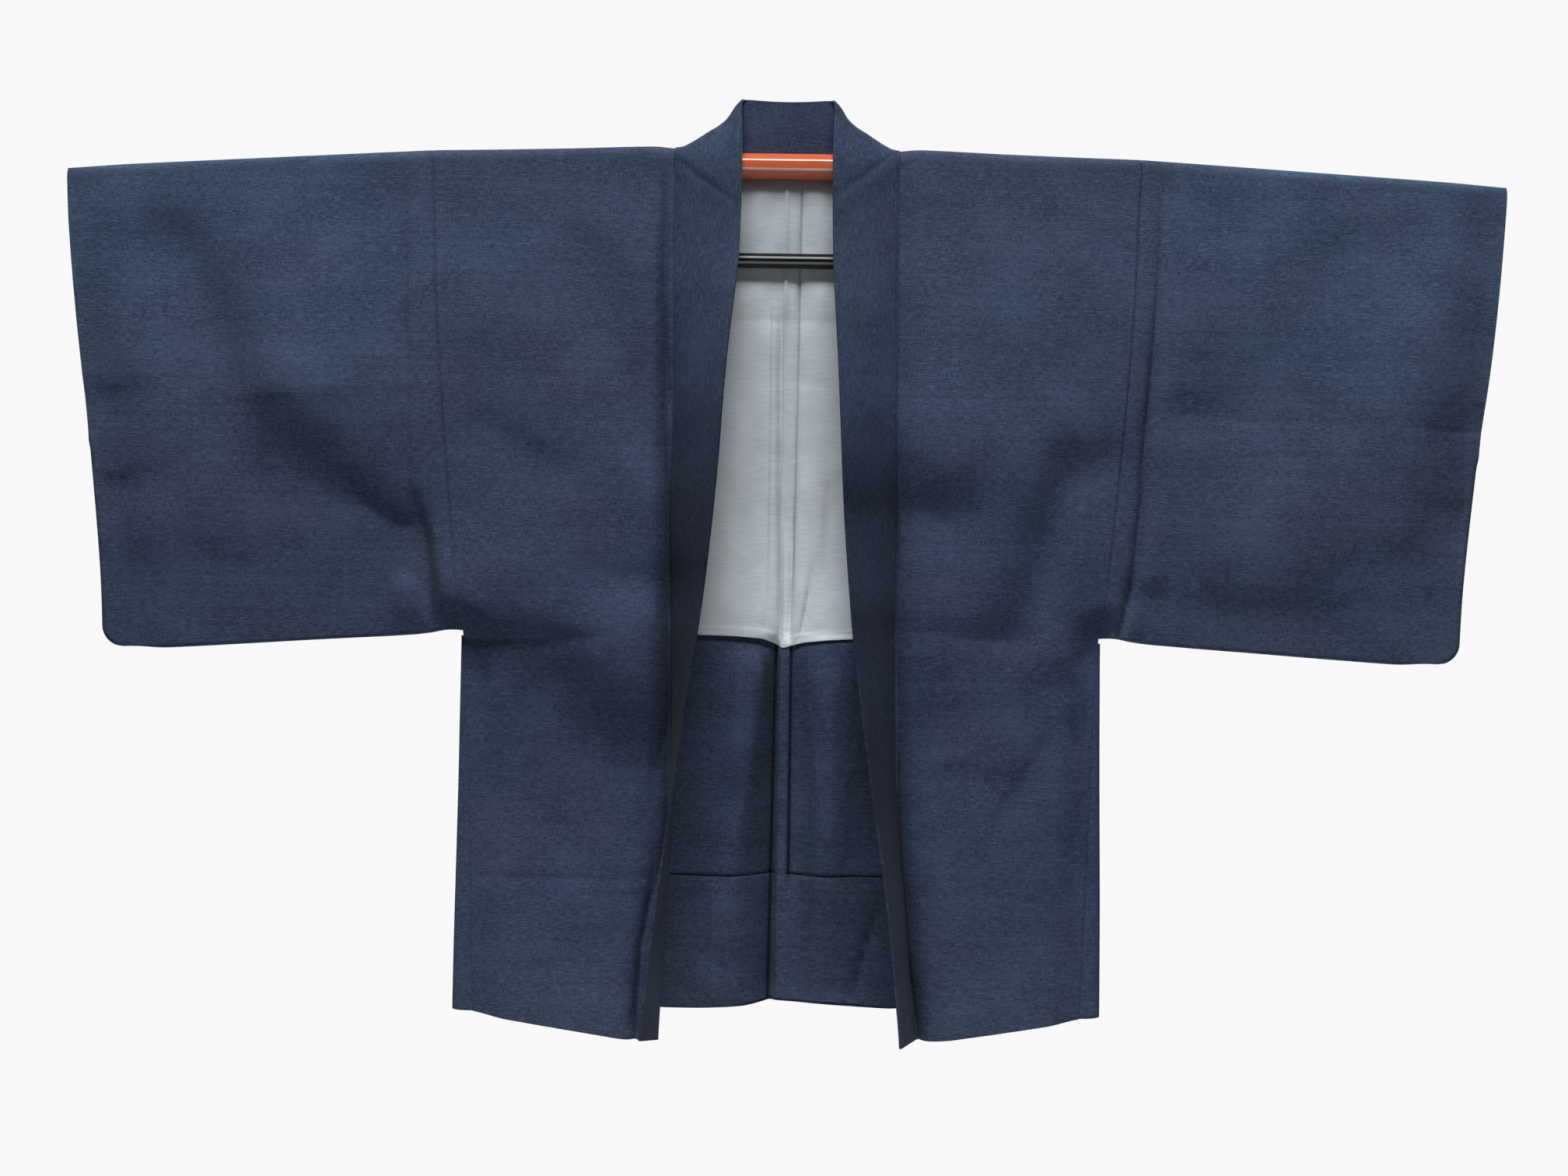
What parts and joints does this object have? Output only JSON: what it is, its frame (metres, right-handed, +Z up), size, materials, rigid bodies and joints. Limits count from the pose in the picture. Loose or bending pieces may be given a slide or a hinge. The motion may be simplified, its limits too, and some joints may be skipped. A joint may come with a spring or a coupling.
{
  "type": "haori jacket on hanger",
  "caption": "Hip-length open-front haori jacket with deep square sleeves, a band collar and side gussets, hung flat on a kimono hanger with a lower rail.",
  "frame": {"origin": "middle of the hanger's upper bar, on its flat top, where the neck leaves it bare and it is held", "axes": "+X to the wearer's left, +Y from the front to the back, +Z up"},
  "size_m": [1.3642, 0.0976, 0.9002],
  "materials": {
    "navy_cloth": "matt slubbed plain weave",
    "grey_lining": "smooth lining with a soft sheen",
    "orange_plastic": "satin gloss",
    "black_plastic": "gloss"
  },
  "bodies": {
    "root": {"back_left": "navy_cloth", "back_right": "navy_cloth", "collar": "navy_cloth", "front_left": "navy_cloth", "front_right": "navy_cloth", "gusset_left": "navy_cloth", "gusset_right": "navy_cloth", "hanger_arm_left": "orange_plastic", "hanger_arm_right": "orange_plastic", "hanger_bar": "orange_plastic", "hanger_link_left": "black_plastic", "hanger_link_right": "black_plastic", "hanger_rail": "black_plastic", "lining_left": "grey_lining", "lining_right": "grey_lining", "shoulder_left": "navy_cloth", "shoulder_right": "navy_cloth", "sleeve_left": "navy_cloth", "sleeve_right": "navy_cloth", "turned_hem_left": "navy_cloth", "turned_hem_right": "navy_cloth"}
  },
  "joints": []
}
